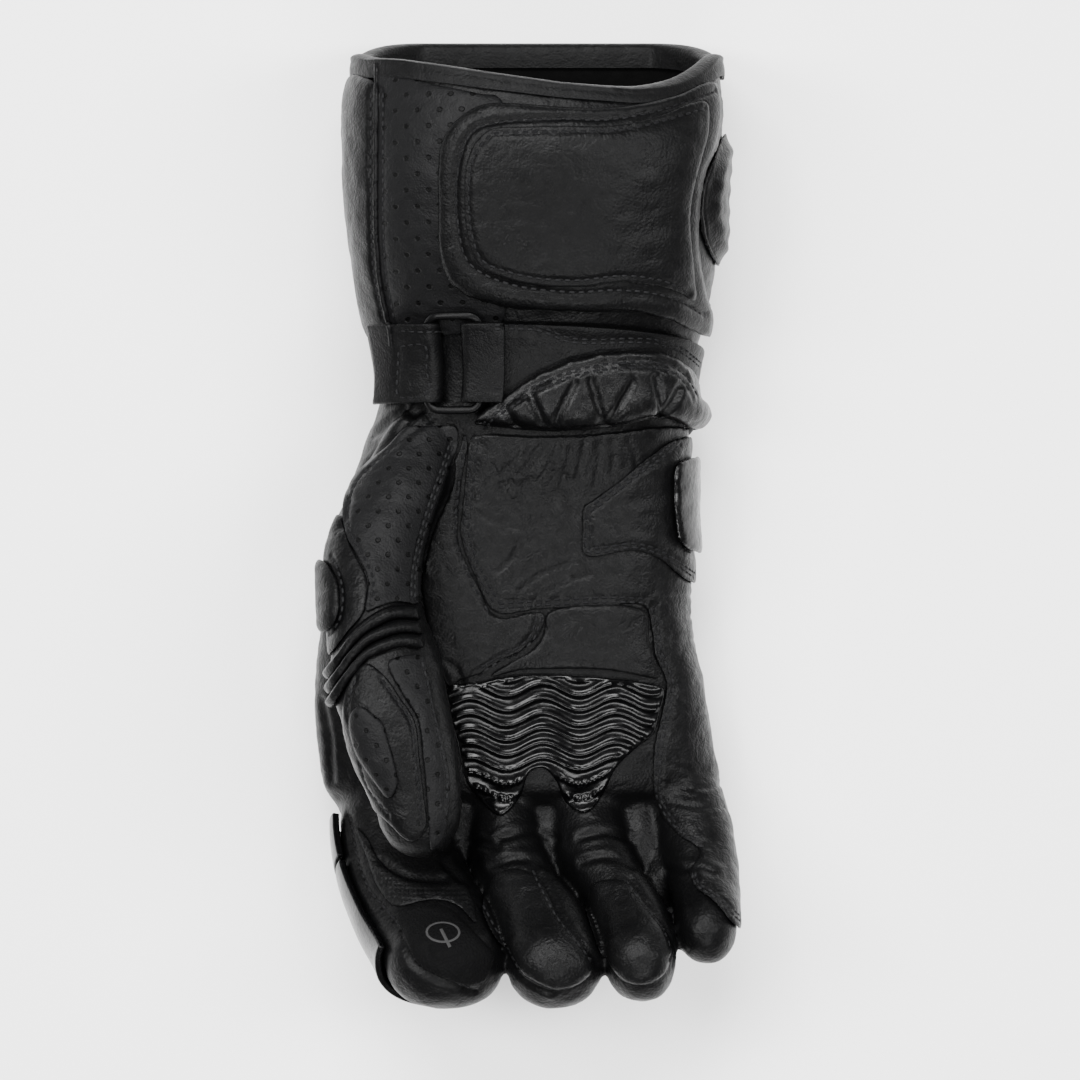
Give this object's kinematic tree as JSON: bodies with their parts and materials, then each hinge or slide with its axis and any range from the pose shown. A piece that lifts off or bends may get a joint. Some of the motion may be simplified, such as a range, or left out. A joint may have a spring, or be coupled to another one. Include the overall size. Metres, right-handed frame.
{
  "type": "motorcycle gauntlet glove",
  "caption": "Right-hand leather riding glove with a long cuff, closure flap, wrist strap, padded palm and grip panel, lying palm up.",
  "frame": {"origin": "On the flat back of the hand, where the glove rests, below the middle of the palm", "axes": "+X from the thumb side to the little finger side, +Y from the fingers to the cuff, +Z from the back of the hand up to the palm"},
  "size_m": [0.1329, 0.3017, 0.0937],
  "materials": {
    "leather": "black full-grain leather, satin",
    "perforated_leather": "black leather with rows of small holes",
    "palm_leather": "soft black palm leather with fine creases",
    "quilted_leather": "shiny quilted black leather over padding",
    "grip": "glossy black rubber waves",
    "slider": "glossy textured black plastic",
    "plate": "hard black plastic plates",
    "ring": "dark coated ring",
    "touch_fabric": "black conductive woven patch",
    "stitching": "waxed black thread"
  },
  "bodies": {
    "root": {"cuff_shell": "leather", "hand_shell": "leather", "thumb_shell": "leather", "index_finger": "leather", "middle_finger": "leather", "ring_finger": "leather", "little_finger": "leather", "rim_binding": "leather", "perforated_panel": "perforated_leather", "thumb_side_bulge": "leather", "closure_flap": "leather", "flap_pad": "leather", "wrist_guard": "leather", "strap_ring": "ring", "strap_anchor": "leather", "wrist_strap": "leather", "heel_roll": "quilted_leather", "palm_overlay": "palm_leather", "lower_palm_panel": "palm_leather", "finger_root_panel": "palm_leather", "grip_panel": "grip", "heel_pad": "palm_leather", "palm_slider": "slider", "thenar_panel": "perforated_leather", "knuckle_panel": "leather", "knuckle_pad": "leather", "thumb_rib_1": "leather", "thumb_rib_2": "leather", "thumb_rib_3": "leather", "tip_panel": "leather", "tip_pad": "perforated_leather", "tip_side_panel": "perforated_leather", "touch_patch": "touch_fabric", "index_plate_1": "plate", "index_plate_2": "plate"}
  },
  "joints": []
}
